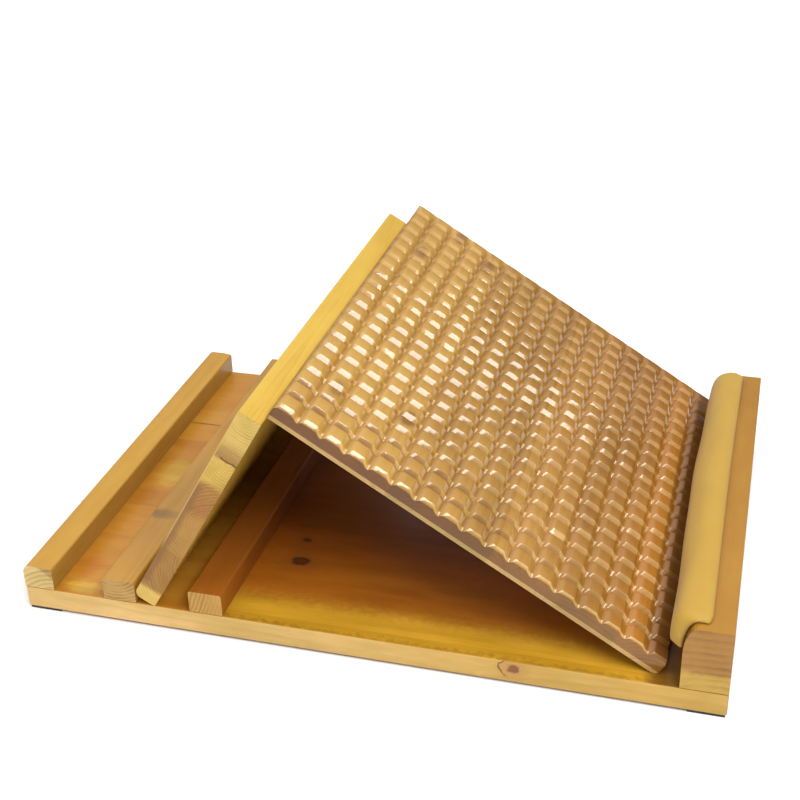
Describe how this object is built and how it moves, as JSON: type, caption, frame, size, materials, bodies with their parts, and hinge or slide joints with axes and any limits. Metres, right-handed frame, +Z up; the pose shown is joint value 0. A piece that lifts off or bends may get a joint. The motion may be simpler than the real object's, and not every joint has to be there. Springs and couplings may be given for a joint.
{
  "type": "slant board",
  "caption": "Folding wooden calf-stretch slant board with a carved massage tread, a hinged prop in stop strips and a padded heel rail.",
  "frame": {"origin": "centre of the whole object's footprint, on the surface that the rubber feet stand on", "axes": "+X along the board towards the heel rail, +Y across the board, +Z up"},
  "size_m": [0.495, 0.37, 0.1871],
  "materials": {
    "base_wood": "satin varnish",
    "strip_wood": "satin varnish",
    "heel_rail_wood": "satin varnish",
    "prop_wood": "satin varnish",
    "tread_wood": "gloss varnish",
    "heel_pad": "matt, soft padded",
    "hinge_steel": "zinc plated",
    "screw_steel": "zinc plated",
    "foot_rubber": "matt"
  },
  "bodies": {
    "base": {"base_panel": "base_wood", "toe_rail": "strip_wood", "stop_strip_outer": "strip_wood", "stop_strip_inner": "strip_wood", "heel_rail": "heel_rail_wood", "heel_pad": "heel_pad", "foot_toe_near": "foot_rubber", "foot_toe_far": "foot_rubber", "foot_heel_near": "foot_rubber", "foot_heel_far": "foot_rubber", "toe_rail_screw_1": "screw_steel", "toe_rail_screw_2": "screw_steel", "toe_rail_screw_3": "screw_steel", "stop_strip_outer_screw_1": "screw_steel", "stop_strip_outer_screw_2": "screw_steel", "stop_strip_outer_screw_3": "screw_steel", "stop_strip_inner_screw_1": "screw_steel", "stop_strip_inner_screw_2": "screw_steel", "stop_strip_inner_screw_3": "screw_steel", "heel_rail_screw_1": "screw_steel", "heel_rail_screw_2": "screw_steel", "heel_rail_screw_3": "screw_steel", "heel_hinge_near_base_leaf": "hinge_steel", "heel_hinge_near_pin": "hinge_steel", "heel_hinge_near_base_screw_a": "screw_steel", "heel_hinge_near_base_screw_b": "screw_steel", "heel_hinge_far_base_leaf": "hinge_steel", "heel_hinge_far_pin": "hinge_steel", "heel_hinge_far_base_screw_a": "screw_steel", "heel_hinge_far_base_screw_b": "screw_steel"},
    "tread": {"tread_board": "tread_wood", "heel_hinge_near_tread_leaf": "hinge_steel", "heel_hinge_near_tread_screw_a": "screw_steel", "heel_hinge_near_tread_screw_b": "screw_steel", "apex_hinge_near_tread_leaf": "hinge_steel", "apex_hinge_near_pin": "hinge_steel", "apex_hinge_near_tread_screw_a": "screw_steel", "apex_hinge_near_tread_screw_b": "screw_steel", "heel_hinge_far_tread_leaf": "hinge_steel", "heel_hinge_far_tread_screw_a": "screw_steel", "heel_hinge_far_tread_screw_b": "screw_steel", "apex_hinge_far_tread_leaf": "hinge_steel", "apex_hinge_far_pin": "hinge_steel", "apex_hinge_far_tread_screw_a": "screw_steel", "apex_hinge_far_tread_screw_b": "screw_steel"},
    "prop": {"prop_board": "prop_wood", "apex_hinge_near_prop_leaf": "hinge_steel", "apex_hinge_near_prop_screw_a": "screw_steel", "apex_hinge_near_prop_screw_b": "screw_steel", "apex_hinge_far_prop_leaf": "hinge_steel", "apex_hinge_far_prop_screw_a": "screw_steel", "apex_hinge_far_prop_screw_b": "screw_steel"}
  },
  "joints": [
    {"name": "tread_lift", "type": "hinge", "parent": "base", "child": "tread", "pos_m": [0.1995, 0, 0.0228], "axis": [0, 1, 0], "range_deg": [0, 38]},
    {"name": "prop_fold", "type": "hinge", "parent": "tread", "child": "prop", "pos_m": [-0.05317, 0, 0.17148], "axis": [0, -1, 0], "range_deg": [0, 61]}
  ],
  "couplings": [
    {"joint": "prop_fold", "follows": "tread_lift", "ratio": 1.6}
  ]
}
